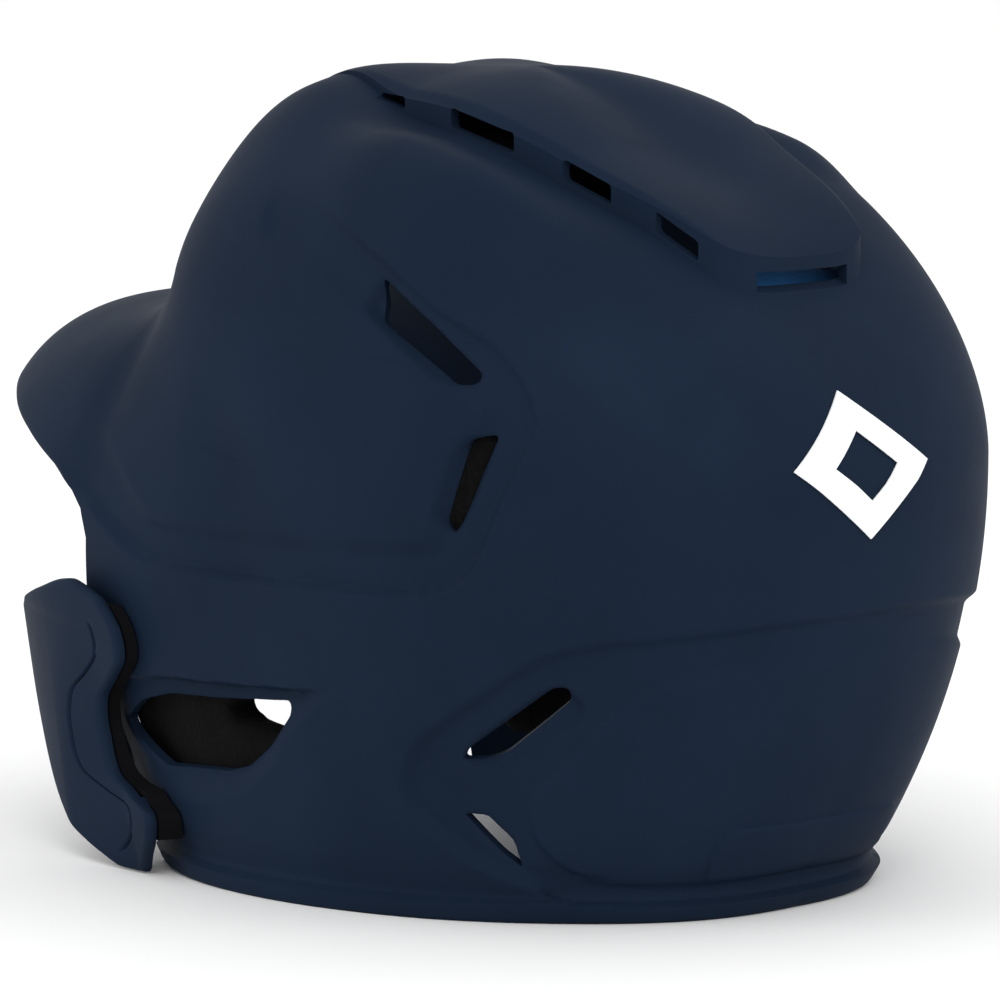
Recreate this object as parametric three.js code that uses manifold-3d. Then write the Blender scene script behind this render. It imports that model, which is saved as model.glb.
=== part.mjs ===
// Double-flap batting helmet with a screwed-on jaw guard on the wearer's left.
// Millimetres, +Z up, visor towards -Y, wearer's left side towards +X.
// The origin is under the middle of the helmet, on the plane of the rim.
import * as THREE from 'three';
import { ParametricGeometry } from 'three/addons/geometries/ParametricGeometry.js';
import { mergeVertices } from 'three/addons/utils/BufferGeometryUtils.js';
import Module from 'manifold-3d';

const wasm = await Module();
wasm.setup();

// ---------------------------------------------------------------- driving dimensions
const CENTRE_Y = 36.5;         // axis of the dome, front to back
const WIDEST_Z = 117;          // level at which the shell is widest
const CROWN_RISE = 104.5;      // crown above the widest level
const CROWN_LEAN = 14.5;       // how far the crown leans towards the visor
const HALF_WIDTH = 104;
const FOREHEAD = 105;          // dome axis to forehead
const REAR = 117;              // dome axis to the back
const VISOR_REACH = 194;       // dome axis to the visor's tip
const PLAN_POWER = 2.2;        // roundness of the outline that visor and cheeks share
const RIM_RADIUS = [[0, 130], [47, 106], [70, 93], [90, 85], [110, 81], [125, 79.5], [135, 79.5], [150, 81],
  [160, 81.5], [180, 80]];
const VISOR_EDGE_Z = [[0, 136], [9, 133], [21.6, 124], [29.4, 118], [36.7, 110.5], [42.3, 100], [46, 99.5]];
const EDGE_LEVEL = 1.15;       // level at which the visor's sweep ends
const WALL = 3.2;
const LIP_OUT = 2.4;
const LIP_HEIGHT = 6;
const LEDGE_Z = 81;            // top of the recessed band round the back
const LEDGE_DEPTH = 2.4;
const CROWN_STEP = 7.5;          // height of the wall round the crown panel
const DIP_WIDTH = 26;          // how far the dip beside the panel reaches
const FRONT_SWELL = 5.5;       // swell of the shell at the crown panel's front corners
const SIDE_SWELL = 3.5;        // swell along the panel's sides
const GAP = 0.35;              // free space left between neighbouring pieces

// ---------------------------------------------------------------- small helpers
const rad = THREE.MathUtils.degToRad;
const smooth = THREE.MathUtils.smoothstep;
const V = (x, y, z) => new THREE.Vector3(x, y, z);

// smooth curve through a few [x, y] points
function through(points, x) {
  const last = points.length - 1;
  const at = Math.min(Math.max(x, points[0][0]), points[last][0]);
  let i = 0;
  while (i < last - 1 && at > points[i + 1][0]) i += 1;
  const slope = (k) => {
    const a = points[Math.max(k - 1, 0)];
    const b = points[Math.min(k + 1, last)];
    return (b[1] - a[1]) / (b[0] - a[0]);
  };
  const [x0, y0] = points[i];
  const [x1, y1] = points[i + 1];
  const h = x1 - x0;
  const t = (at - x0) / h;
  return (1 + 2 * t) * (1 - t) ** 2 * y0 + t * (1 - t) ** 2 * h * slope(i)
    + t * t * (3 - 2 * t) * y1 + t * t * (t - 1) * h * slope(i + 1);
}

function superRadius(sine, cosine, halfX, halfY, power) {
  return (Math.abs(sine / halfX) ** power + Math.abs(cosine / halfY) ** power) ** (-1 / power);
}

// ---------------------------------------------------------------- the helmet's outer surface
// azimuth in degrees, 0 at the visor, positive to the wearer's left;
// level 0 at the crown, 1 at the widest height, 2 at the rim.
function dome(azimuth, level) {
  const s = Math.sin(Math.min(level, 1) * Math.PI / 2);
  const c = Math.cos(Math.min(level, 1) * Math.PI / 2);
  const sine = Math.sin(rad(azimuth));
  const back = -Math.cos(rad(azimuth));
  const power = 2.86 - 0.73 * Math.min(level, 1) ** 2;
  const plan = superRadius(sine, back, HALF_WIDTH, back < 0 ? FOREHEAD : REAR, power);
  const profile = 2.27 + 0.15 * Math.max(-back, 0) ** 2 - 0.80 * Math.max(back, 0) ** 2;
  const k = (s ** profile + c ** profile) ** (-1 / profile);
  const rise = level < 1 ? c * k : 0;
  return { radius: plan * s * k, z: WIDEST_Z + CROWN_RISE * rise, rise };
}

function skirt(azimuth, level) {
  const side = Math.abs(azimuth);
  const sine = Math.sin(rad(azimuth));
  const back = -Math.cos(rad(azimuth));
  const wide = superRadius(sine, back, HALF_WIDTH, back < 0 ? FOREHEAD : REAR, 2.13);
  const open = superRadius(sine, back, HALF_WIDTH, VISOR_REACH, PLAN_POWER);
  const front = back < 0 ? 1 - smooth(side, 62, 88) : 0;
  const top = wide + (open - wide) * front;
  const drop = Math.max(level - 1, 0);
  const power = 1.5 + 0.6 * smooth(side, 90, 150);
  return { radius: top - (top - through(RIM_RADIUS, side)) * drop ** power, z: WIDEST_Z * (1 - drop) };
}

function shellPoint(azimuth, level) {
  const side = Math.abs(azimuth);
  const plain = level < 1 ? dome(azimuth, level) : skirt(azimuth, level);
  let { radius, z } = plain;
  let lean = CROWN_LEAN * (plain.rise ?? 0);
  const brow = through([[0, 0.74], [25, 0.72], [45, 0.70], [65, 0.70], [90, 0.72]], side);
  const weight = 1 - smooth(side, 62, 88);
  if (level > brow && level < EDGE_LEVEL && weight > 0) {
    // visor and temples: a Bezier from the brow out to the shared plan outline
    const a = dome(azimuth, brow);
    const b = dome(azimuth, brow + 0.001);
    const run = Math.hypot(b.radius - a.radius, b.z - a.z);
    const edgeZ = side < 46 ? through(VISOR_EDGE_Z, side) : 99.55;
    const edgeR = skirt(azimuth, EDGE_LEVEL).radius;
    const ease = through([[0, 10], [30, 14], [45, 20], [60, 26], [90, 26]], side);
    const inset = through([[0, 26], [20, 20], [43, 6], [60, 2], [90, 1]], side);
    const above = through([[0, 27], [20, 32], [43, 34], [60, 26], [90, 24]], side);
    const curve = new THREE.CubicBezierCurve(
      new THREE.Vector2(a.radius, a.z),
      new THREE.Vector2(a.radius + (b.radius - a.radius) / run * ease, a.z + (b.z - a.z) / run * ease),
      new THREE.Vector2(edgeR - inset, edgeZ + above),
      new THREE.Vector2(edgeR, edgeZ),
    );
    const t = (level - brow) / (EDGE_LEVEL - brow);
    const p = curve.getPoint(t);
    radius += (p.x - radius) * weight;
    z += (p.y - z) * weight;
    lean += (CROWN_LEAN * a.rise * (1 - t) ** 2 - lean) * weight;
  }
  return V(radius * Math.sin(rad(azimuth)), CENTRE_Y - radius * Math.cos(rad(azimuth)) - lean, z);
}

function shellNormal(azimuth, level) {
  const step = 0.004;
  if (level < step) return V(0, 0, 1);
  const along = shellPoint(azimuth, level + step).sub(shellPoint(azimuth, level - step));
  const round = shellPoint(azimuth + 0.4, level).sub(shellPoint(azimuth - 0.4, level));
  return along.cross(round).normalize();
}

// level of the surface at a height, on one azimuth
function levelAt(azimuth, z) {
  let low = 0;
  let high = 2;
  for (let i = 0; i < 30; i += 1) {
    const middle = (low + high) / 2;
    if (shellPoint(azimuth, middle).z > z) low = middle;
    else high = middle;
  }
  return (low + high) / 2;
}

function offsetPoint(azimuth, level, out) {
  const n = shellNormal(azimuth, level);
  if (level > 1.9) n.setZ(0).normalize();
  return shellPoint(azimuth, level).addScaledVector(n, out);
}

// ---------------------------------------------------------------- crown panel levels
// The panel's outline in plan, left half, front to back.
const PANEL_HALF = [[20, -47], [29, -30], [34, -12], [40, 7], [44.5, 28], [46, 45], [46, 60], [43, 75],
  [39.5, 88], [36, 100], [31.5, 111], [26.5, 117.5], [16, 120.5]];
const panelOutline = [...PANEL_HALF, ...PANEL_HALF.map(([x, y]) => [-x, y]).reverse()];

// how far the shell dips beside the panel, and how far the panel's top stands up at the rear
const panelDip = (y) => CROWN_STEP * smooth(y, -30, 34) * (1 - smooth(y, 73, 116));
const panelRaise = (y) => CROWN_STEP * smooth(y, 73, 116);

// distance from the panel's outline in plan, negative inside it
function panelDistance(x, y) {
  let best = Infinity;
  for (let i = 0; i < panelOutline.length; i += 1) {
    const [ax, ay] = panelOutline[i];
    const [bx, by] = panelOutline[(i + 1) % panelOutline.length];
    const t = THREE.MathUtils.clamp(((x - ax) * (bx - ax) + (y - ay) * (by - ay))
      / ((bx - ax) ** 2 + (by - ay) ** 2), 0, 1);
    best = Math.min(best, Math.hypot(ax + (bx - ax) * t - x, ay + (by - ay) * t - y));
  }
  const inside = y > -47 && y < 120.5
    && Math.abs(x) < through(PANEL_HALF.map(([px, py]) => [py, px]), y);
  return inside ? -best : best;
}

// swell of the shell round the panel's front corners and along its sides
function shoulder(y, distance) {
  const front = smooth(y, -75, -30) * (1 - smooth(y, -20, 16)) * (1 - smooth(distance, 6, 40))
    * (1 - 0.65 * smooth(-distance, 0, 40));
  const beside = smooth(y, 0, 40) * (1 - smooth(y, 58, 84)) * smooth(distance, 6, 20)
    * (1 - smooth(distance, 26, 60));
  return FRONT_SWELL * front + SIDE_SWELL * beside;
}

function shellRelief(azimuth, level) {
  const p = shellPoint(azimuth, level);
  if (level < 0.8) {
    const distance = panelDistance(p.x, p.y);
    return shoulder(p.y, distance) - panelDip(p.y) * (1 - smooth(distance, 0, DIP_WIDTH));
  }
  const rear = smooth(Math.abs(azimuth), 100, 112);
  const band = 1 - smooth(p.z, LEDGE_Z - 4, LEDGE_Z + 1);
  const lip = p.z < LIP_HEIGHT + 0.5 ? 1 : 0;
  return -LEDGE_DEPTH * rear * band * smooth(p.z, LIP_HEIGHT, LIP_HEIGHT + 6) + LIP_OUT * lip;
}

// ---------------------------------------------------------------- geometry builders
function toSolid(geometry) {
  geometry.deleteAttribute('normal');
  geometry.deleteAttribute('uv');
  const merged = mergeVertices(geometry, 1e-3);
  const position = merged.getAttribute('position');
  const corners = [];
  let volume = 0;
  const [a, b, c] = [V(), V(), V()];
  for (let i = 0; i < merged.index.count; i += 3) {
    const [p, q, r] = [0, 1, 2].map((k) => merged.index.getX(i + k));
    if (p === q || q === r || r === p) continue;
    corners.push(p, q, r);
    a.fromBufferAttribute(position, p);
    b.fromBufferAttribute(position, q);
    c.fromBufferAttribute(position, r);
    volume += a.dot(b.cross(c));
  }
  if (volume < 0) corners.reverse();
  return new wasm.Manifold(new wasm.Mesh({
    numProp: 3,
    vertProperties: new Float32Array(position.array),
    triVerts: new Uint32Array(corners),
  }));
}

function toGeometry(solid) {
  const mesh = solid.getMesh();
  const geometry = new THREE.BufferGeometry();
  geometry.setAttribute('position', new THREE.BufferAttribute(new Float32Array(mesh.vertProperties), 3));
  geometry.setIndex(new THREE.BufferAttribute(new Uint32Array(mesh.triVerts), 1));
  const flat = geometry.toNonIndexed();
  flat.computeVertexNormals();
  return flat;
}

// a closed skin round the crown: down the outside to the last level and back up the inside
function ringSheet(levels, columns, outer, inner) {
  const rows = levels.length;
  return toSolid(new ParametricGeometry((u, v, target) => {
    const azimuth = (Math.round(u * columns) % columns) * 360 / columns - 180;
    const j = Math.round(v * (2 * rows - 1));
    const level = levels[j < rows ? j : 2 * rows - 1 - j];
    const out = j < rows ? outer(azimuth, level) : inner(azimuth, level);
    target.copy(offsetPoint(level === 0 ? 0 : azimuth, level, out));
  }, columns, 2 * rows - 1));
}

// a closed slab bent onto the surface between two azimuths and two heights
function bentSlab(map, across, up) {
  const box = new THREE.BoxGeometry(1, 1, 1, across, up, 1);
  const position = box.getAttribute('position');
  for (let i = 0; i < position.count; i += 1) {
    const p = map(position.getX(i) + 0.5, position.getY(i) + 0.5, position.getZ(i) + 0.5);
    position.setXYZ(i, p.x, p.y, p.z);
  }
  return toSolid(box);
}

// rounded-corner pad on the inner wall: azimuths, heights and the two offsets
// closing is how much nearer the shell the pad's front end is
const CLOSED_FROM = [38.5, 42];
function padSlab({ from, to, low, high, near, thick, across = 6, up = 4, closing = 0 }) {
  return bentSlab((u, v, w) => {
    const azimuth = from + (to - from) * u;
    const z = low + (high - low) * v;
    const gap = near + closing * (1 - smooth(Math.abs(azimuth), ...CLOSED_FROM));
    return offsetPoint(azimuth, levelAt(azimuth, z), -gap - (thick - gap + near) * (1 - w));
  }, across, up);
}

// straight prism through the shell, from an outline given as [azimuth, height] points
function ventCutter(points, depth = 16) {
  const onShell = points.map(([azimuth, z]) => shellPoint(azimuth, levelAt(azimuth, z)));
  const centre = onShell.reduce((sum, p) => sum.add(p), V(0, 0, 0)).divideScalar(points.length);
  const normal = points.map(([azimuth, z]) => shellNormal(azimuth, levelAt(azimuth, z)))
    .reduce((sum, n) => sum.add(n), V(0, 0, 0)).normalize();
  const right = V(0, 0, 1).cross(normal).normalize();
  const upward = normal.clone().cross(right);
  const shape = new THREE.Shape(onShell.map((p) => {
    const d = p.clone().sub(centre);
    return new THREE.Vector2(d.dot(right), d.dot(upward));
  }));
  const prism = new THREE.ExtrudeGeometry(shape, { depth: 2 * depth, bevelEnabled: false });
  prism.translate(0, 0, -depth);
  prism.applyMatrix4(new THREE.Matrix4().makeBasis(right, upward, normal).setPosition(centre));
  return toSolid(prism);
}

const mirrored = (points) => points.map(([azimuth, z]) => [-azimuth, z]).reverse();

// turned piece along the guard's screw axis
function turned(profile, segments = 16) {
  return new THREE.LatheGeometry(profile.map(([r, h]) => new THREE.Vector2(r, h)), segments);
}

// ---------------------------------------------------------------- outer shell
const LEVELS = [0, 0.08, 0.16, 0.24, 0.32, 0.40, 0.48, 0.56, 0.64, 0.72, 0.80, 0.88, 0.95, 1.02, 1.08,
  EDGE_LEVEL - 0.001, 1.22, 1.285, 1.34, 1.44, 1.56, 1.68, 1.80, 1.90, 1.945, 1.95, 2];
const COLUMNS = 40;
const CROWN_LEVELS = LEVELS.filter((level) => level < 0.75);

let shell = ringSheet(LEVELS, COLUMNS, shellRelief, (a, l) => Math.min(shellRelief(a, l), 0) - WALL);

// face opening, cut straight across from side to side
const FACE_CUT = [[-260, -20], [-50, -20], [-55, 0], [-62, 14], [-71, 32], [-72, 50], [-67, 74],
  [-62, 92], [-64, 101], [-81, 110.5], [-103, 118], [-124, 124], [-151, 133], [-160, 136.5], [-260, 150]];
const faceShape = new THREE.Shape(FACE_CUT.map(([y, z]) => new THREE.Vector2(y, z)));
const facePrism = new THREE.ExtrudeGeometry(faceShape, { depth: 300, bevelEnabled: false });
facePrism.applyMatrix4(new THREE.Matrix4().makeBasis(V(0, 1, 0), V(0, 0, 1), V(1, 0, 0)));
facePrism.translate(-150, 0, 0);
shell = shell.subtract(toSolid(facePrism));

// crown panel: raised cap on a step wall, open underneath
function plumb(outline) {
  const shape = new THREE.Shape(outline.map(([x, y]) => new THREE.Vector2(x, y)));
  const prism = new THREE.ExtrudeGeometry(shape, { depth: 200, bevelEnabled: false });
  prism.translate(0, 0, 110);
  return toSolid(prism);
}
const panelCentre = [0, 38];
const insetOutline = panelOutline.map(([x, y]) => {
  const reach = Math.hypot(x - panelCentre[0], y - panelCentre[1]);
  const keep = 1 - WALL / reach;
  return [x * keep, panelCentre[1] + (y - panelCentre[1]) * keep];
});
function capTop(azimuth, level) {
  const { x, y } = shellPoint(azimuth, level);
  return panelRaise(y) + shoulder(y, panelDistance(x, y));
}
function capBase(azimuth, level) {
  const { x, y } = shellPoint(azimuth, level);
  return shoulder(y, panelDistance(x, y)) - panelDip(y) - WALL;
}
const panelPrism = plumb(panelOutline);
const panelHole = plumb(insetOutline);
const cap = ringSheet(CROWN_LEVELS, COLUMNS, capTop, (a, l) => capTop(a, l) - WALL).intersect(panelPrism);
const step = ringSheet(CROWN_LEVELS, COLUMNS, capTop, capBase).intersect(panelPrism.subtract(panelHole));
shell = shell.subtract(panelHole).add(cap).add(step);

// height of the plain dome above a place in plan
function domeHeight(x, y) {
  const guess = THREE.MathUtils.radToDeg(Math.atan2(x, CENTRE_Y - 9 - y));
  let low = 0;
  let high = 1;
  for (let i = 0; i < 26; i += 1) {
    const middle = (low + high) / 2;
    const ahead = CENTRE_Y - CROWN_LEAN * dome(guess, middle).rise - y;
    const { radius } = dome(THREE.MathUtils.radToDeg(Math.atan2(x, ahead)), middle);
    if (radius < Math.hypot(x, ahead)) low = middle;
    else high = middle;
  }
  return dome(guess, low).z;
}

// slots through the step wall: [middle y on the left wall, length]
const CROWN_SLOTS = [[8, 12], [47, 24], [81, 14], [106, 11]];
const SLOT_MARGIN = 1.1;       // wall left above and below a slot
const wallLine = PANEL_HALF.map(([x, y]) => [y, x]);
for (const [y, length] of CROWN_SLOTS) {
  const corners = [y - length / 2, y + length / 2].map((end) => {
    const x = through(wallLine, end);
    const middle = domeHeight(x, end) + (panelRaise(end) - panelDip(end)) / 2 - 0.2;
    const half = Math.max((panelRaise(end) + panelDip(end)) / 2 - SLOT_MARGIN, 0.8);
    return { end, x, top: middle + half, foot: middle - half };
  });
  const [a, b] = corners;
  const outline = [[a.end, a.foot], [b.end, b.foot], [b.end, b.top], [a.end, a.top]];
  const shape = new THREE.Shape(outline.map(([u, v]) => new THREE.Vector2(u, v)));
  const from = Math.min(a.x, b.x) - 6;
  const depth = Math.abs(a.x - b.x) + 11;
  for (const start of [from, -from - depth]) {
    const slot = new THREE.ExtrudeGeometry(shape, { depth, bevelEnabled: false });
    slot.applyMatrix4(new THREE.Matrix4().makeBasis(V(0, 1, 0), V(0, 0, 1), V(1, 0, 0)));
    slot.translate(start, 0, 0);
    shell = shell.subtract(toSolid(slot));
  }
}
const REAR_SLOT = { width: 36, deep: 16, tall: 4.8, tilt: -0.5, y: 120 };
const rearSlot = new THREE.BoxGeometry(REAR_SLOT.width, REAR_SLOT.deep, REAR_SLOT.tall);
rearSlot.rotateX(REAR_SLOT.tilt);
rearSlot.translate(0, REAR_SLOT.y, domeHeight(0, REAR_SLOT.y) + CROWN_STEP / 2);
shell = shell.subtract(toSolid(rearSlot));

// vents and ear holes, the same on both sides
const VENTS = {
  temple_upper: [[105.7, 171], [114.8, 160], [122.3, 148], [121, 145.3], [118.8, 144.8], [105.8, 160.5]],
  temple_lower: [[124, 132.2], [119.8, 130.6], [115.1, 109.2], [116.2, 105.8], [117.3, 107.8]],
  rear_upper: [[115.6, 44], [116.7, 47], [130.6, 65], [132.7, 65], [132.6, 60.5], [122.6, 45.5], [119.8, 43.8]],
  rear_lower: [[114.8, 28.9], [119, 28.7], [123.3, 21.5], [124.4, 13.8], [121, 18]],
  ear: [[40.5, 41], [47, 48], [53, 50.8], [81, 54.7], [82, 52], [77, 43], [70, 35], [64, 32], [49, 30], [41, 38]],
};
for (const outline of Object.values(VENTS)) {
  shell = shell.subtract(ventCutter(outline));
  shell = shell.subtract(ventCutter(mirrored(outline)));
}

// ---------------------------------------------------------------- jaw guard and its fixings
const SCREW_TURN = -16;                     // degrees in plan from +X
const screwAxis = V(Math.cos(rad(SCREW_TURN)), Math.sin(rad(SCREW_TURN)), 0);
const SCREW_SPOTS = { upper: [46.5, 66], lower: [47.5, 16.5] };  // [azimuth, height]
const GASKET = 3.4;
const PLATE = 3.2;
const plateNear = GASKET + 3 * GAP + 0.2;
const BOSS_RADIUS = 5.6;
const INSERT_RADIUS = 3.4;
const SHANK = 2;
const HEAD_RADIUS = 4.6;

// the guard's edges as azimuth against height, and its top edge from front to rear
const GUARD_FRONT = [[-1, 43], [10, 34], [20, 28.5], [36, 24], [50, 21], [70, 19], [82, 20]];
const GUARD_REAR = [[-1, 45], [6, 49], [12, 52], [19, 52.5], [22.5, 48], [27, 44], [39, 43], [46, 43.7],
  [50, 44.8], [55, 47.8], [61, 50.9], [69, 51.2], [75, 49.3], [82, 46]];
const GUARD_TOP = [[0, 66], [0.5, 76], [0.85, 81], [1, 77.5]];
const GUARD_FLARE = 0.33;      // share of the cheek's taper that the guard's free part follows
const FLARE_TOP = 68;
const FREE_OUT = 1.5;          // how much further out the free part stands
const GASKET_WIDTH = 11;       // degrees
const GASKET_SPAN = [11, 75];

function guardPoint(azimuth, z, out) {
  const free = 1 - smooth(azimuth, 34, 47);
  const followed = z < FLARE_TOP ? FLARE_TOP + (z - FLARE_TOP) * (1 - (1 - GUARD_FLARE) * free) : z;
  const level = 2 - followed / WIDEST_Z;
  const { radius } = skirt(azimuth, level);
  const growth = (skirt(azimuth + 0.4, level).radius - skirt(azimuth - 0.4, level).radius) / rad(0.8);
  const [s, c] = [Math.sin(rad(azimuth)), Math.cos(rad(azimuth))];
  const tangent = V(radius * c + growth * s, radius * s - growth * c, 0).normalize();
  return V(radius * s, CENTRE_Y - radius * c, z)
    .addScaledVector(V(tangent.y, -tangent.x, 0), out + FREE_OUT * free);
}

// how much further the guard's lower rear corner stands off the shell
const CORNER_OUT = 4;
function standOff(azimuth, z) {
  return CORNER_OUT * (1 - smooth(z, 10, 40)) * smooth(azimuth, 36, 45);
}

// the stand-off moves the whole slab out, or thickens it where packed is true
function guardSlab({ front, rear, low, high, near, thick, across, up, packed = false }) {
  return bentSlab((u, v, w) => {
    const z = low + (high(u) - low) * v;
    const azimuth = front(z) + (rear(z) - front(z)) * u;
    const off = standOff(azimuth, z);
    return guardPoint(azimuth, z, near + thick * w + (packed ? off * w : off));
  }, across, up);
}

const rearEdge = (z) => through(GUARD_REAR, z);
let guard = guardSlab({ front: (z) => through(GUARD_FRONT, z), rear: rearEdge, low: 0.5,
  high: (u) => through(GUARD_TOP, u), near: plateNear, thick: PLATE, across: 9, up: 16 });
let gasket = guardSlab({ front: (z) => rearEdge(z) - GASKET_WIDTH, rear: (z) => rearEdge(z) + 0.6,
  low: GASKET_SPAN[0], high: () => GASKET_SPAN[1], near: GAP + 0.3, thick: GASKET, across: 3, up: 14,
  packed: true });

const fixings = [];
for (const [name, [azimuth, z]] of Object.entries(SCREW_SPOTS)) {
  const seat = shellPoint(azimuth, levelAt(azimuth, z));
  const place = (geometry, along) => {
    geometry.applyQuaternion(new THREE.Quaternion().setFromUnitVectors(V(0, 1, 0), screwAxis));
    const at = seat.clone().addScaledVector(screwAxis, along);
    geometry.translate(at.x, at.y, at.z);
    return geometry;
  };
  const cylinder = (radius, from, to, sides = 20) => {
    const body = new THREE.CylinderGeometry(radius, radius, to - from, sides);
    return toSolid(place(body, (from + to) / 2));
  };
  const bossFrom = GAP + 1.2;
  const bossTo = plateNear + PLATE - 0.8 + standOff(azimuth, z);
  guard = guard.add(cylinder(BOSS_RADIUS, bossFrom, bossTo));
  guard = guard.subtract(cylinder(INSERT_RADIUS + GAP, bossFrom - 6, bossTo - 1.4));
  gasket = gasket.subtract(cylinder(BOSS_RADIUS + GAP, -12, 16));
  shell = shell.subtract(cylinder(SHANK + 0.6, -14, 12));
  shell = shell.subtract(cylinder(BOSS_RADIUS + 0.8, 0.4, 12));
  shell = shell.subtract(cylinder(7, -20, -WALL + 0.3));
  fixings.push({ name, place, bossFrom, bossTo });
}

const meshes = [];
function piece(name, solid, look) {
  const geometry = solid.isBufferGeometry ? solid : toGeometry(solid);
  const mesh = new THREE.Mesh(geometry, new THREE.MeshStandardMaterial(look));
  mesh.name = name;
  meshes.push(mesh);
}

const NAVY = { color: 0x22303f, roughness: 0.55, metalness: 0 };
const FOAM_BLUE = { color: 0x0b669f, roughness: 0.9, metalness: 0 };
const COMFORT_DARK = { color: 0x24262a, roughness: 0.95, metalness: 0 };
const BLACK = { color: 0x101113, roughness: 0.85, metalness: 0 };
const STEEL = { color: 0x8a8d90, roughness: 0.35, metalness: 1 };
const BRASS = { color: 0xb59a54, roughness: 0.35, metalness: 1 };
const WHITE = { color: 0xf2f3f4, roughness: 0.4, metalness: 0 };

piece('outer_shell', shell, NAVY);
piece('jaw_guard', guard, NAVY);
piece('jaw_guard_gasket', gasket, BLACK);

for (const { name, place, bossFrom, bossTo } of fixings) {
  const inside = -WALL;                      // flat seat cut in the shell's inner face
  const insertTo = bossTo - 1.4 - GAP;
  const washer = turned([[2.5, 0], [6, 0], [6, 0.8], [2.5, 0.8], [2.5, 0]]);
  piece(`guard_washer_${name}`, toSolid(place(washer, inside - 0.8 - 0.05)), STEEL);
  const screw = turned([[0, -3.2], [HEAD_RADIUS - 1, -3.2], [HEAD_RADIUS, -2.4], [HEAD_RADIUS, 0], [SHANK, 0],
    [SHANK, insertTo - inside + 1.2 - GAP], [0, insertTo - inside + 1.2 - GAP]]);
  const socket = new THREE.CylinderGeometry(1.5, 1.5, 2, 6);
  const headAt = inside - 1.2;
  const drive = toSolid(place(socket, headAt - 3.2 + 0.8));
  piece(`guard_screw_${name}`, toSolid(place(screw, headAt)).subtract(drive), STEEL);
  const insert = turned([[2.35, 0], [INSERT_RADIUS, 0], [INSERT_RADIUS, insertTo - bossFrom - 0.2],
    [2.35, insertTo - bossFrom - 0.2], [2.35, 0]]);
  piece(`guard_insert_${name}`, toSolid(place(insert, bossFrom + 0.2)), BRASS);
}

// ---------------------------------------------------------------- liner
const padFace = WALL + GAP + 0.9;
const crownNear = WALL + CROWN_STEP + 1.6;
const crownPadLevels = [0, 0.1, 0.2, 0.3, 0.36];
piece('crown_pad', ringSheet(crownPadLevels, 24, () => -crownNear, () => -crownNear - 9), BLACK);
piece('crown_comfort_pad', ringSheet([0, 0.1, 0.2, 0.28], 24,
  () => -crownNear - 9 - GAP, () => -crownNear - 14), COMFORT_DARK);

const PADS = {
  brow: { from: -44, to: 44, low: 158, high: 184, across: 8, up: 3 },
  left_side: { from: 58, to: 128, low: 98, high: 143, across: 9 },
  right_side: { from: -128, to: -58, low: 98, high: 143, across: 9 },
  rear: { from: 138, to: 222, low: 92, high: 180, comfortHigh: 146, across: 8, up: 6 },
  nape: { from: 140, to: 220, low: 26, high: 72, across: 8 },
};
for (const [name, span] of Object.entries(PADS)) {
  const relief = name === 'nape' || name === 'rear' ? LEDGE_DEPTH : 0;
  const near = padFace + (name === 'brow' ? 1.2 : 0) + relief;
  const outer = name.includes('side') ? BLACK : FOAM_BLUE;
  piece(`${name}_pad`, padSlab({ ...span, near, thick: 8 }), outer);
  const inner = { ...span, from: span.from + 3, to: span.to - 3, low: span.low + 4,
    high: span.comfortHigh ?? span.high - 4 };
  piece(`${name}_comfort_pad`, padSlab({ ...inner, near: near + 8 + 3 * GAP, thick: 5 }), COMFORT_DARK);
}

for (const [side, hand] of [['left', 1], ['right', -1]]) {
  const block = padSlab({ from: 37 * hand, to: 97 * hand, low: 14, high: 74,
    near: padFace + 4.3, thick: 12.3, across: 12, up: 5, closing: -4.1 });
  const hole = [[62, 45], [67, 58], [84, 60], [88, 53], [82, 44], [72, 41]];
  piece(`${side}_ear_pad`, block.subtract(ventCutter(hand > 0 ? hole : mirrored(hole), 34)), BLACK);
}

// ---------------------------------------------------------------- generic rear decal
// a plain white diamond ring, laid on the shell at the back
const DECAL_X = 10;
function decalFrame(azimuthSize, zSize, from, depth) {
  const corners = [[180 - azimuthSize, 122], [180, 122 + zSize], [180 + azimuthSize, 122], [180, 122 - zSize]];
  const shape = new THREE.Shape(corners.map(([a, z]) => new THREE.Vector2((a - 180) * 2.2, z)));
  const plate = new THREE.ExtrudeGeometry(shape, { depth, bevelEnabled: false });
  plate.applyMatrix4(new THREE.Matrix4().makeBasis(V(-1, 0, 0), V(0, 0, 1), V(0, 1, 0)));
  plate.translate(DECAL_X, from, 0);
  return toSolid(plate);
}
const decalSkin = ringSheet([0, 0.5, 0.78, 0.84, 0.9, 0.96, 1.02, 1.08, 1.15, 1.22], 96, () => 0.75, () => GAP);
const diamond = decalFrame(11, 19, 100, 90).subtract(decalFrame(5.2, 9, 100, 90));
piece('rear_decal', decalSkin.intersect(diamond), WHITE);

const helmet = new THREE.Group();
helmet.name = 'batting_helmet';
helmet.add(...meshes);

export default helmet;
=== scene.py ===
"""Looks of the batting helmet: fine shell, guard, liner, fixings, decal and a plain studio."""
import math

import bpy
import bmesh
import numpy as np
from mathutils import Matrix, Vector


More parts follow.
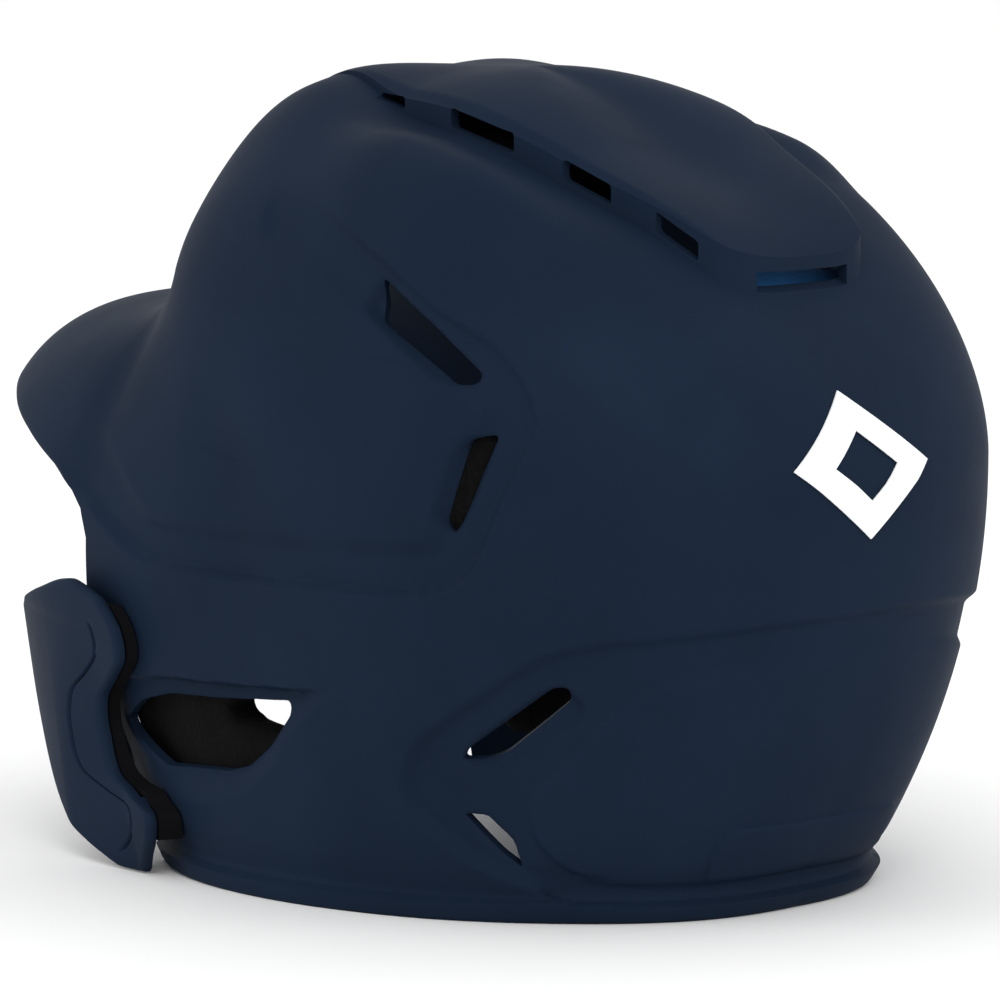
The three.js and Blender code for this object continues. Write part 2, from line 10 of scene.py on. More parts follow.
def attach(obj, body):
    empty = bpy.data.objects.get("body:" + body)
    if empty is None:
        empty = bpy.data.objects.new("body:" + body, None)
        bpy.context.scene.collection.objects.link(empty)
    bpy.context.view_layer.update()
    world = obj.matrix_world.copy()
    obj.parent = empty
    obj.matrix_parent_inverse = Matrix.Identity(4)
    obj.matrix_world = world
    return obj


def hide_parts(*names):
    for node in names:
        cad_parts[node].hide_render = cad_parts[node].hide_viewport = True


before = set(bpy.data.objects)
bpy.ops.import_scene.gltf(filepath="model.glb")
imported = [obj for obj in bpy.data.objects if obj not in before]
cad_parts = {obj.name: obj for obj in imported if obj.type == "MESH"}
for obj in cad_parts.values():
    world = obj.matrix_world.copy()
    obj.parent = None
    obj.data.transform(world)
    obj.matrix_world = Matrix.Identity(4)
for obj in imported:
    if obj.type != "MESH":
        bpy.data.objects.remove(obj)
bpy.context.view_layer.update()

MM = 0.001

# ------------------------------------------------------------ driving dimensions, mm
CENTRE_Y = 36.5
WIDEST_Z = 117.0
CROWN_RISE = 104.5
CROWN_LEAN = 14.5
HALF_WIDTH, FOREHEAD, REAR = 104.0, 105.0, 117.0
VISOR_REACH, PLAN_POWER = 194.0, 2.2
EDGE_LEVEL = 1.15
WALL = 3.2
CROWN_STEP = 7.5
GAP = 0.35
PANEL_LIP = 1.6              # rounding of the crown panel's edge
DIP_WIDTH = 26               # how far the dip beside the panel reaches
FRONT_SWELL, SIDE_SWELL = 5.5, 3.5
CREASE_DEPTH, LEDGE_DEPTH, PILLOW_RISE, TAB_RISE = 2.3, 2.6, 1.6, 0.8
SCOOP_DEPTH, BOWL_DEPTH = 2.6, 4.2
BEAD_OUT, BEAD_TOP = 2.6, 4.6
RIM_RADIUS = ([0, 47, 70, 90, 110, 125, 135, 150, 160, 180], [130, 106, 93, 85, 81, 79.5, 79.5, 81, 81.5, 80])
VISOR_EDGE_Z = ([0, 9, 21.6, 29.4, 36.7, 42.3, 46], [136, 133, 124, 118, 110.5, 100, 99.5])


def sstep(a, b, x):
    t = np.clip((np.asarray(x, float) - a) / (b - a), 0, 1)
    return t * t * (3 - 2 * t)


def through(curve, x):
    """Smooth curve through a few points."""
    xs, ys = (np.asarray(c, float) for c in curve)
    x = np.clip(np.asarray(x, float), xs[0], xs[-1])
    slope = np.empty_like(ys)
    slope[1:-1] = (ys[2:] - ys[:-2]) / (xs[2:] - xs[:-2])
    slope[0] = (ys[1] - ys[0]) / (xs[1] - xs[0])
    slope[-1] = (ys[-1] - ys[-2]) / (xs[-1] - xs[-2])
    i = np.clip(np.searchsorted(xs, x, side="right") - 1, 0, len(xs) - 2)
    h = xs[i + 1] - xs[i]
    t = (x - xs[i]) / h
    return ((1 + 2 * t) * (1 - t) ** 2 * ys[i] + t * (1 - t) ** 2 * h * slope[i]
            + t * t * (3 - 2 * t) * ys[i + 1] + t * t * (t - 1) * h * slope[i + 1])


def super_radius(s, c, half_x, half_y, power):
    return (np.abs(s / half_x) ** power + np.abs(c / half_y) ** power) ** (-1 / power)


# ------------------------------------------------------------ base surface
def dome(az, m):
    m = np.clip(m, 0, 1)
    s, c = np.sin(m * np.pi / 2), np.cos(m * np.pi / 2)
    sine, back = np.sin(np.radians(az)), -np.cos(np.radians(az))
    power = 2.86 - 0.73 * m ** 2
    plan = super_radius(sine, back, HALF_WIDTH, np.where(back < 0, FOREHEAD, REAR), power)
    profile = 2.27 + 0.15 * np.clip(-back, 0, 1) ** 2 - 0.80 * np.clip(back, 0, 1) ** 2
    k = (s ** profile + np.abs(c) ** profile) ** (-1 / profile)
    rise = np.where(m < 1, c * k, 0.0)
    return plan * s * k, WIDEST_Z + CROWN_RISE * rise, rise


def skirt(az, m):
    side = np.abs(az)
    sine, back = np.sin(np.radians(az)), -np.cos(np.radians(az))
    wide = super_radius(sine, back, HALF_WIDTH, np.where(back < 0, FOREHEAD, REAR), 2.13)
    cheek = super_radius(sine, back, HALF_WIDTH, VISOR_REACH, PLAN_POWER)
    front = np.where(back < 0, 1 - sstep(62, 88, side), 0.0)
    top = wide + (cheek - wide) * front
    drop = np.clip(m - 1, 0, 1.3)
    power = 1.5 + 0.6 * sstep(90, 150, side)
    return top - (top - through(RIM_RADIUS, side)) * drop ** power, WIDEST_Z * (1 - drop)


def surface(az, m):
    """Points of the helmet's plain outer surface, mm. az degrees (0 visor, + wearer's left)."""
    az, m = np.broadcast_arrays(np.asarray(az, float), np.asarray(m, float))
    side = np.abs(az)
    r1, z1, rise = dome(az, m)
    r2, z2 = skirt(az, m)
    upper = m < 1
    radius, z = np.where(upper, r1, r2), np.where(upper, z1, z2)
    lean = CROWN_LEAN * np.where(upper, rise, 0)
    brow = through(([0, 25, 45, 65, 90], [.74, .72, .70, .70, .72]), side)
    weight = np.where((m > brow) & (m < EDGE_LEVEL), 1 - sstep(62, 88, side), 0.0)
    ra, za, rise_a = dome(az, brow)
    rb, zb, _ = dome(az, brow + 1e-3)
    run = np.hypot(rb - ra, zb - za)
    tr, tz = (rb - ra) / run, (zb - za) / run
    edge_z = np.where(side < 46, through(VISOR_EDGE_Z, side), 99.55)
    edge_r = skirt(az, np.full_like(az, EDGE_LEVEL))[0]
    ease = through(([0, 30, 45, 60, 90], [10, 14, 20, 26, 26]), side)
    inset = through(([0, 20, 43, 60, 90], [26, 20, 6, 2, 1]), side)
    above = through(([0, 20, 43, 60, 90], [27, 32, 34, 26, 24]), side)
    t = np.clip((m - brow) / (EDGE_LEVEL - brow), 0, 1)
    q = 1 - t
    b0, b1, b2, b3 = q ** 3, 3 * q * q * t, 3 * q * t * t, t ** 3
    pr = b0 * ra + b1 * (ra + tr * ease) + b2 * (edge_r - inset) + b3 * edge_r
    pz = b0 * za + b1 * (za + tz * ease) + b2 * (edge_z + above) + b3 * edge_z
    radius = radius + (pr - radius) * weight
    z = z + (pz - z) * weight
    lean = lean + (CROWN_LEAN * rise_a * q * q - lean) * weight
    return np.stack([radius * np.sin(np.radians(az)),
                     CENTRE_Y - radius * np.cos(np.radians(az)) - lean, z], -1)


def normal(az, m):
    m = np.clip(m, 0.006, 1.996)
    along = surface(az, m + 0.004) - surface(az, m - 0.004)
    around = surface(az + 0.4, m) - surface(az - 0.4, m)
    n = np.cross(along, around)
    n = n / np.linalg.norm(n, axis=-1, keepdims=True)
    flat = np.broadcast_to((np.asarray(m) > 1.9)[..., None], n.shape)
    level = n * np.array([1.0, 1.0, 0.0])
    level = level / np.linalg.norm(level, axis=-1, keepdims=True)
    return np.where(flat, level, n)


def level_at(az, z):
    az, z = np.broadcast_arrays(np.asarray(az, float), np.asarray(z, float))
    low, high = np.zeros(az.shape), np.full(az.shape, 2.0)
    for _ in range(26):
        mid = (low + high) / 2
        above = surface(az, mid)[..., 2] > z
        low, high = np.where(above, mid, low), np.where(above, high, mid)
    return (low + high) / 2


# ------------------------------------------------------------ outlines on the surface, [azimuth, height]
CREASE = [(31, 116), (42, 105), (53, 90), (66, 88), (78, 88), (99, 88.5), (109, 89), (114, 90.5), (117, 93),
          (120, 99), (124, 116), (128.5, 131), (129.5, 137), (128, 146), (124, 155), (116, 163), (105, 175),
          (93, 184), (81, 190)]
CREASE_AREA = CREASE + [(60, 200), (31, 200)]
LEDGE = [(190, 84), (180, 84), (163, 83), (146, 80), (137, 78.5), (130, 75), (125, 70), (115, 58), (108, 49),
         (105, 41), (104, 34), (106, 27), (112, 20), (118, 14), (127, 9)]
LEDGE_AREA = LEDGE + [(140, 5.5), (190, 5.5)]
PILLOW = [(190, 74), (180, 74), (165, 72), (151, 69), (144, 65), (139, 58), (132, 44), (127, 36), (126, 30),
          (127, 22), (132, 14), (139, 10.5), (155, 9.5), (190, 11)]
BOWL_LINE = [(98, 62), (94, 60), (83, 47), (76, 35), (69, 27), (61, 23), (50, 21), (36, 21)]
BOWL_TOP = [(36, 54), (50, 56), (54, 57.5), (82, 60), (98, 62)]
VENTS = {
    "temple_upper": [(105.7, 171), (114.8, 160), (122.3, 148), (121, 145.3), (118.8, 144.8),
                     (105.8, 160.5)],
    "temple_lower": [(124, 132.2), (119.8, 130.6), (115.1, 109.2), (116.2, 105.8), (117.3, 107.8)],
    "rear_upper": [(115.6, 44), (116.7, 47), (130.6, 65), (132.7, 65), (132.6, 60.5), (122.6, 45.5),
                   (119.8, 43.8)],
    "rear_lower": [(114.8, 28.9), (119, 28.7), (123.3, 21.5), (124.4, 13.8), (121, 18)],
    "ear": [(40.5, 41), (47, 48), (53, 50.8), (81, 54.7), (82, 52), (77, 43), (70, 35), (64, 32),
            (49, 30), (41, 38)],
}
SCOOPS = [
    [(105.7, 171.4), (114.8, 160.4), (122.5, 148.4), (121.8, 144.8), (115.9, 143.8), (103.4, 160.9),
     (102.7, 164.8)],
    [(124.3, 132.7), (119.2, 131.3), (116.6, 126.3), (113.4, 113.1), (113.6, 108.7), (116.1, 104.9),
     (117.6, 107.6)],
    [(115.2, 43.6), (121.5, 40.8), (126, 41.4), (134.8, 55), (135.8, 60), (132.9, 65.6), (130, 65.3),
     (116, 47)],
]
TAB = [(157, 10.5), (190, 10.5), (190, 25), (160, 25), (157.5, 23)]
PANEL_HALF = [(0, -52), (20, -47), (29, -30), (34, -12), (40, 7), (44.5, 28), (46, 45), (46, 60), (43, 75),
              (39.5, 88), (36, 100), (31.5, 111), (26.5, 117.5), (16, 120.5), (0, 121)]
PANEL_MIDDLE, STEP_WALL = np.array([0, 38.0]), 3.0
SLOTS = [(8, 12), (47, 24), (81, 14), (106, 11)]          # middle and length along the panel's side
REAR_SLOT = {"y": 120.0, "half_wide": 18, "half_deep": 8, "half_tall": 2.4, "tilt": -0.5}


STRETCH = np.array([1.72, 1.0])          # mm of surface per degree, mm per mm of height


def rounded(points, cut=1.8, stretch=STRETCH):
    """Outline with its corners rounded off over a short distance, mm."""
    p = np.asarray(points, float)
    out = []
    for a, b, c in zip(np.roll(p, 1, 0), p, np.roll(p, -1, 0)):
        start, end = (b + (e - b) * min(cut / np.linalg.norm((e - b) * stretch), 0.45) for e in (a, c))
        out += [(1 - t) ** 2 * start + 2 * t * (1 - t) * b + t * t * end for t in (0, 0.33, 0.67, 1)]
    return np.array(out)


def spline(points, per=8):
    """Open smooth curve through points."""
    p = np.asarray(points, float)
    out = []
    for i in range(len(p) - 1):
        a, b = p[max(i - 1, 0)], p[i]
        c, d = p[i + 1], p[min(i + 2, len(p) - 1)]
        for t in np.arange(per) / per:
            out.append(.5 * (2 * b + (c - a) * t + (2 * a - 5 * b + 4 * c - d) * t ** 2
                             + (3 * b - a - 3 * c + d) * t ** 3))
    return np.array(out + [p[-1]])


PANEL = np.concatenate([spline(PANEL_HALF), spline(PANEL_HALF)[-2:0:-1] * [-1, 1]])


def segment_distance(p, line, closed=False):
    best = np.full(len(p), 1e9)
    ends = np.roll(line, -1, 0) if closed else line[1:]
    for a, b in zip(line, ends):
        ab = b - a
        t = np.clip(((p - a) @ ab) / (ab @ ab + 1e-12), 0, 1)
        best = np.minimum(best, np.linalg.norm(p - a - t[:, None] * ab, axis=1))
    return best


def inside(p, poly):
    hit = np.zeros(len(p), bool)
    for a, b in zip(poly, np.roll(poly, -1, 0)):
        cross = (a[1] > p[:, 1]) != (b[1] > p[:, 1])
        with np.errstate(divide="ignore", invalid="ignore"):
            x = (b[0] - a[0]) * (p[:, 1] - a[1]) / (b[1] - a[1]) + a[0]
        hit ^= cross & (p[:, 0] < x)
    return hit


def signed(p, line, area, closed=False):
    """Distance from line in mm, positive inside area."""
    p, line, area = p * STRETCH, np.asarray(line, float) * STRETCH, np.asarray(area, float) * STRETCH
    d = segment_distance(p, line, closed)
    return np.where(inside(p, area), d, -d)


def panel_distance(xy):
    d = segment_distance(xy, PANEL, True)
    return np.where(inside(xy, PANEL), -d, d)


def panel_dip(y):
    return CROWN_STEP * sstep(-30, 34, y) * (1 - sstep(73, 116, y))


def panel_raise(y):
    return CROWN_STEP * sstep(73, 116, y)


def shoulder(y, dist):
    """Swell of the shell round the panel's front corners and along its sides."""
    front = sstep(-75, -30, y) * (1 - sstep(-20, 16, y))
    front = front * (1 - sstep(6, 40, dist)) * (1 - 0.65 * sstep(0, 40, -dist))
    beside = sstep(0, 40, y) * (1 - sstep(58, 84, y)) * sstep(6, 20, dist) * (1 - sstep(26, 60, dist))
    return FRONT_SWELL * front + SIDE_SWELL * beside


def dome_height(x, y):
    """Height of the plain dome over a place in plan."""
    guess = math.degrees(math.atan2(x, CENTRE_Y - 9 - y))
    low, high = 0.0, 1.0
    for _ in range(26):
        mid = (low + high) / 2
        ahead = CENTRE_Y - CROWN_LEAN * float(dome(guess, mid)[2]) - y
        radius, z, _ = dome(math.degrees(math.atan2(x, ahead)), mid)
        low, high = (mid, high) if radius < math.hypot(x, ahead) else (low, mid)
    return float(z)


def fillet(d, radius, depth):
    """Drop near an edge at d = 0: a quarter-round of that radius."""
    t = np.clip(1 - d / radius, 0, 1)
    return -depth * (1 - np.sqrt(1 - t * t))


def relief(az, z, xy, fine=True):
    """How far the moulded surface stands off the plain one, mm, on flat arrays."""
    side = np.abs(az)
    p = np.stack([side, z], 1)
    out = np.zeros(len(az))
    top = z > 150
    dist = panel_distance(xy[top])
    y = xy[top][:, 1]
    out[top] += shoulder(y, dist) - panel_dip(y) * (1 - sstep(0, DIP_WIDTH, dist))
    # recessed band round the temple panel
    band = (z > 70) & (z < 205) & (side > 25) & (side < 140)
    d = signed(p[band], spline(CREASE, 5), spline(CREASE_AREA, 5))
    fade = sstep(30, 50, side[band]) * (1 - sstep(178, 192, z[band]))
    out[band] -= CREASE_DEPTH * fade * sstep(-1.0, 1.4, d) * (1 - sstep(8.5, 15.5, d))
    # ledge and panel at the back
    rear = (side > 95) & (z < 92)
    d = signed(p[rear], spline(LEDGE, 5), spline(LEDGE_AREA, 4))
    out[rear] -= LEDGE_DEPTH * sstep(-0.8, 3.6, d) * sstep(3, 12, z[rear])
    d = signed(p[rear], spline(PILLOW, 5), spline(PILLOW, 5))
    out[rear] += PILLOW_RISE * sstep(-0.4, 2.4, d)
    d = signed(p[rear], rounded(TAB, 3), rounded(TAB, 3), True)
    out[rear] += TAB_RISE * sstep(-0.2, 0.6, d)
    for scoop in SCOOPS:
        q = np.asarray(scoop, float)
        near = (np.abs(side - q[:, 0].mean()) < 18) & (np.abs(z - q[:, 1].mean()) < 24)
        d = signed(p[near], rounded(scoop, 3), rounded(scoop, 3), True)
        out[near] -= SCOOP_DEPTH * sstep(-0.4, 2.8, d)
    # bowl round the ear hole
    ear = (side > 30) & (side < 104) & (z < 70)
    d = signed(p[ear], spline(BOWL_LINE, 5), BOWL_LINE + BOWL_TOP)
    under = segment_distance(p[ear] * STRETCH, np.array(BOWL_TOP) * STRETCH)
    shallow_front = 0.2 + 0.8 * sstep(43, 58, side[ear])
    out[ear] -= BOWL_DEPTH * sstep(-0.3, 10.5, d) * sstep(0, 2.5, under) * shallow_front
    # bead round the rim
    low = z < 20
    out[low] += BEAD_OUT * (1 - sstep(BEAD_TOP, 6.4, z[low]))
    out[low] -= 0.5 * sstep(6.4, 8, z[low]) * (1 - sstep(9, 16, z[low]))
    if fine:
        out[low] -= 0.9 * (1 - np.sqrt(1 - np.clip(1 - z[low] / 1.3, 0, 1) ** 2))
        for name, poly in VENTS.items():
            q = np.asarray(poly, float)
            near = (np.abs(side - q[:, 0].mean()) < 40) & (np.abs(z - q[:, 1].mean()) < 40)
            d = -signed(p[near], rounded(poly), rounded(poly), True)
            out[near] += fillet(d, 1.8, 0.9)
    return out


# ------------------------------------------------------------ mesh builders
def make_mesh(name, verts, faces, scale=MM):
    me = bpy.data.meshes.new(name)
    me.from_pydata((np.asarray(verts, float) * scale).tolist(), [], faces)
    me.validate()
    me.update()
    ob = bpy.data.objects.new(name, me)
    bpy.context.scene.collection.objects.link(ob)
    return ob


def ring_mesh(name, az, rows_out, rows_in, off_out, off_in):
    """Closed thick sheet round the crown."""
    nc = len(az)

    def grid(rows, off):
        a, m = np.meshgrid(az, rows)
        base = surface(a, m)
        shape = a.shape
        h = off(a.ravel(), m.ravel(), base.reshape(-1, 3)).reshape(shape)
        return base + normal(a, m) * h[..., None]
    po, pi = grid(rows_out[1:], off_out), grid(rows_in[1:], off_in)
    apex = surface(np.array([0.0]), np.array([0.0]))[0]
    h0 = off_out(np.zeros(1), np.zeros(1), apex[None])[0]
    h1 = off_in(np.zeros(1), np.zeros(1), apex[None])[0]
    verts = np.concatenate([[apex + [0, 0, h0]], po.reshape(-1, 3), [apex + [0, 0, h1]], pi.reshape(-1, 3)])
    no, ni = len(rows_out) - 1, len(rows_in) - 1
    i = np.arange(nc)
    j = (i + 1) % nc
    faces = [[0, 1 + a, 1 + b] for a, b in zip(i, j)]
    for r in range(no - 1):
        base = 1 + r * nc
        faces += np.stack([base + i, base + nc + i, base + nc + j, base + j], 1).tolist()
    start = 1 + no * nc
    faces += [[start, start + 1 + b, start + 1 + a] for a, b in zip(i, j)]
    for r in range(ni - 1):
        base = start + 1 + r * nc
        faces += np.stack([base + j, base + nc + j, base + nc + i, base + i], 1).tolist()
    last_o, last_i = 1 + (no - 1) * nc, start + 1 + (ni - 1) * nc
    faces += np.stack([last_o + i, last_i + i, last_i + j, last_o + j], 1).tolist()
    return make_mesh(name, verts, faces)


def prism(name, outline, low, high, basis=None, centre=(0, 0, 0)):
    """Closed prism over a 2D outline, mm; basis rows are the directions of x, y and the extrusion."""
    p = np.asarray(outline, float)
    n = len(p)
    verts = np.concatenate([np.c_[p, np.full(n, low)], np.c_[p, np.full(n, high)]])
    if basis is not None:
        verts = verts @ np.asarray(basis, float)
    verts = verts + np.asarray(centre, float)
    area = np.sum(p[:, 0] * np.roll(p[:, 1], -1) - np.roll(p[:, 0], -1) * p[:, 1])
    up = np.linalg.det(basis) > 0 if basis is not None else True
    faces = [list(range(n))[::-1], list(range(n, 2 * n))]
    faces += [[k, (k + 1) % n, n + (k + 1) % n, n + k] for k in range(n)]
    if (area < 0) == bool(up):
        faces = [f[::-1] for f in faces]
    return make_mesh(name, verts, faces)


def boolean(ob, cutters, operation):
    for c in cutters:
        mod = ob.modifiers.new("b", "BOOLEAN")
        mod.operation = operation
        mod.object = c
        mod.solver = "MANIFOLD"
    bpy.context.view_layer.update()
    deps = bpy.context.evaluated_depsgraph_get()
    me = bpy.data.meshes.new_from_object(ob.evaluated_get(deps))
    ob.modifiers.clear()
    me.materials.clear()
    old = ob.data
    ob.data = me
    me.name = ob.name
    bpy.data.meshes.remove(old)
    for c in cutters:
        bpy.data.objects.remove(c)
    return ob


def sharpen(ob, degrees=32):
    bm = bmesh.new()
    bm.from_mesh(ob.data)
    bmesh.ops.dissolve_degenerate(bm, dist=1e-6, edges=bm.edges)
    for f in bm.faces:
        f.smooth = True
    limit = math.radians(degrees)
    for e in bm.edges:
        e.smooth = len(e.link_faces) == 2 and e.calc_face_angle(0.0) < limit
    bm.to_mesh(ob.data)
    bm.free()
    ob.data.update()
    return ob


def vent_prism(name, poly, hand, depth=16.0):
    p = rounded(poly)
    az = p[:, 0] * hand
    m = level_at(az, p[:, 1])
    on = surface(az, m)
    n = normal(az, m).mean(0)
    n = n / np.linalg.norm(n)
    right = np.cross([0, 0, 1.0], n)
    right = right / np.linalg.norm(right)
    up = np.cross(n, right)
    c = on.mean(0)
    flat = np.stack([(on - c) @ right, (on - c) @ up], 1)
    return prism(name, flat, -depth, depth, [right, up, n], c)


# ------------------------------------------------------------ outer shell
FACE_CUT = [(-300, -20), (-50, -20), (-55, 0), (-62, 14), (-71, 32), (-72, 50), (-67, 74), (-62, 92),
            (-63.5, 100), (-69, 104.5), (-81, 110.5), (-103, 118), (-124, 124), (-151, 133), (-160, 136.5),
            (-300, 150)]


def shell_mesh():
    az = np.arange(720) * 0.5 - 180
    rows = np.concatenate([[0], np.linspace(0.012, 1.149, 190), np.linspace(1.155, 1.86, 92),
                           np.linspace(1.866, 2.0, 24)])
    rows_in = np.concatenate([[0], np.linspace(0.03, 1.149, 60), np.linspace(1.16, 2.0, 40)])

    def outer(a, m, p):
        return relief(a, p[:, 2], p[:, :2])

    def inner(a, m, p):
        return np.minimum(relief(a, p[:, 2], p[:, :2], False), 0) - WALL
    shell = ring_mesh("shell", az, rows, rows_in, outer, inner)
    inward = PANEL_MIDDLE - PANEL
    hole = PANEL + inward / np.linalg.norm(inward, axis=1)[:, None] * STEP_WALL
    face = prism("face", FACE_CUT, -150, 150, [[0, 1, 0], [0, 0, 1], [1, 0, 0]])
    boolean(shell, [face, prism("hole", hole, 110, 300)], "DIFFERENCE")
    crown_rows = np.concatenate([[0], np.linspace(0.012, 0.78, 130)])
    crown_in = np.concatenate([[0], np.linspace(0.03, 0.78, 40)])

    def cap_top(a, m, p):
        d = panel_distance(p[:, :2])
        edge = sstep(-26, 6, p[:, 1])
        return panel_raise(p[:, 1]) + shoulder(p[:, 1], d) - edge * PANEL_LIP * (1 - sstep(-1.0, 3.2, -d))

    def cap_low(a, m, p):
        return panel_raise(p[:, 1]) + shoulder(p[:, 1], panel_distance(p[:, :2])) - WALL

    def step_low(a, m, p):
        return shoulder(p[:, 1], panel_distance(p[:, :2])) - panel_dip(p[:, 1]) - WALL
    cap = ring_mesh("cap", az, crown_rows, crown_in, cap_top, cap_low)
    boolean(cap, [prism("keep", PANEL, 110, 300)], "INTERSECT")
    step = ring_mesh("step", az, crown_rows, crown_in, cap_top, step_low)
    wall = prism("wall", PANEL, 110, 300)
    boolean(wall, [prism("core", hole, 100, 310)], "DIFFERENCE")
    boolean(step, [wall], "INTERSECT")
    boolean(shell, [cap, step], "UNION")
    cutters = []
    half = spline(PANEL_HALF)
    half = half[np.argsort(half[:, 1])]
    for y, length in SLOTS:
        ends = []
        for end in (y - length / 2, y + length / 2):
            x = float(np.interp(end, half[:, 1], half[:, 0]))
            wall = float(panel_raise(end) + panel_dip(end))
            middle = dome_height(x, end) + float(panel_raise(end) - panel_dip(end)) / 2
            ends.append((end, x, middle - 0.2, max(wall - 2.2, 1.6) / 2))
        (y0, x0, z0, h0), (y1, x1, z1, h1) = ends
        outline = rounded([(y0, z0 - h0), (y1, z1 - h1), (y1, z1 + h1), (y0, z0 + h0)], 1.2, 1.0)
        inner_x, outer_x = min(x0, x1) - 6, max(x0, x1) + 5
        for hand in (1, -1):
            cutters.append(prism("slot", outline, inner_x, outer_x, [[0, 1, 0], [0, 0, 1], [hand, 0, 0]]))
    y, wide, deep, tall, tilt = REAR_SLOT.values()
    middle = (0, y, dome_height(0.0, y) + CROWN_STEP / 2)
    turn = np.array(Matrix.Rotation(tilt, 3, "X")).T
    outline = [(-wide, -deep), (wide, -deep), (wide, deep), (-wide, deep)]
    cutters.append(prism("slot", outline, -tall, tall, turn, middle))
    for name, poly in VENTS.items():
        cutters += [vent_prism(name, poly, 1), vent_prism(name, poly, -1)]
    boolean(shell, cutters, "DIFFERENCE")
    return sharpen(shell)


# ------------------------------------------------------------ materials
def material(name):
    mat = bpy.data.materials.new(name)
    mat.use_nodes = True
    nt = mat.node_tree
    return mat, nt, nt.nodes["Principled BSDF"]


def srgb(r, g, b):
    lin = [((c / 255 + 0.055) / 1.055) ** 2.4 if c > 10 else c / 255 / 12.92 for c in (r, g, b)]
    return (*lin, 1.0)


def noise(nt, coord, scale, detail=3.0, rough=0.5):
    n = nt.nodes.new("ShaderNodeTexNoise")
    n.inputs["Scale"].default_value = scale
    n.inputs["Detail"].default_value = detail
    n.inputs["Roughness"].default_value = rough
    nt.links.new(coord, n.inputs["Vector"])
    return n


def ramp(nt, fac, stops):
    r = nt.nodes.new("ShaderNodeValToRGB")
    els = r.color_ramp.elements
    while len(els) < len(stops):
        els.new(0.5)
    for e, (pos, col) in zip(els, stops):
        e.position = pos
        e.color = col
    nt.links.new(fac, r.inputs["Fac"])
    return r


def spread(nt, fac, low, high):
    m = nt.nodes.new("ShaderNodeMapRange")
    m.inputs["To Min"].default_value = low
    m.inputs["To Max"].default_value = high
    nt.links.new(fac, m.inputs["Value"])
    return m


def bump(nt, height, strength, distance, before=None):
    b = nt.nodes.new("ShaderNodeBump")
    b.inputs["Strength"].default_value = strength
    b.inputs["Distance"].default_value = distance
    nt.links.new(height, b.inputs["Height"])
    if before:
        nt.links.new(before.outputs["Normal"], b.inputs["Normal"])
    return b


def plastic(name, dark, light, rough=(0.42, 0.55), grain=0.12, specular=0.02):
    mat, nt, bsdf = material(name)
    pos = nt.nodes.new("ShaderNodeTexCoord").outputs["Object"]
    broad = noise(nt, pos, 18, 4)
    fine = noise(nt, pos, 1400, 2)
    col = ramp(nt, broad.outputs["Fac"], [(0.35, dark), (0.65, light)])
    nt.links.new(col.outputs["Color"], bsdf.inputs["Base Color"])
    smudge = noise(nt, pos, 60, 5, 0.65)
    nt.links.new(spread(nt, smudge.outputs["Fac"], *rough).outputs["Result"], bsdf.inputs["Roughness"])
    scratch = noise(nt, pos, 900, 1)
    b1 = bump(nt, fine.outputs["Fac"], grain, 0.0002)
    b2 = bump(nt, scratch.outputs["Fac"], grain * 0.6, 0.0003, b1)
    nt.links.new(b2.outputs["Normal"], bsdf.inputs["Normal"])
    bsdf.inputs["Specular IOR Level"].default_value = specular
    return mat


NAVY = plastic("navy_plastic", srgb(21, 32, 48), srgb(24, 36, 53), (0.48, 0.6))
# black of the guard's gasket: partly the rubber's own colour, partly painted shade for the gap under the
# guard's rear edge
BLACK_RUBBER_AND_GAP_SHADE = plastic("black_rubber", srgb(12, 12, 13), srgb(20, 20, 22), (0.6, 0.8), 0.3)
WHITE_VINYL = plastic("white_vinyl", srgb(232, 234, 236), srgb(240, 242, 243), (0.3, 0.4), 0.05, 0.4)


def metal(name, dark, light, rough):
    mat, nt, bsdf = material(name)
    pos = nt.nodes.new("ShaderNodeTexCoord").outputs["Object"]
    broad = noise(nt, pos, 260, 4)
    col = ramp(nt, broad.outputs["Fac"], [(0.3, dark), (0.7, light)])
    nt.links.new(col.outputs["Color"], bsdf.inputs["Base Color"])
    nt.links.new(spread(nt, broad.outputs["Fac"], *rough).outputs["Result"], bsdf.inputs["Roughness"])
    fine = noise(nt, pos, 3000, 2)
    nt.links.new(bump(nt, fine.outputs["Fac"], 0.1, 0.0001).outputs["Normal"], bsdf.inputs["Normal"])
    bsdf.inputs["Metallic"].default_value = 1.0
    return mat


STEEL = metal("zinc_steel", srgb(150, 152, 156), srgb(185, 188, 192), (0.25, 0.42))
BRASS = metal("brass", srgb(168, 140, 74), srgb(196, 168, 98), (0.25, 0.4))


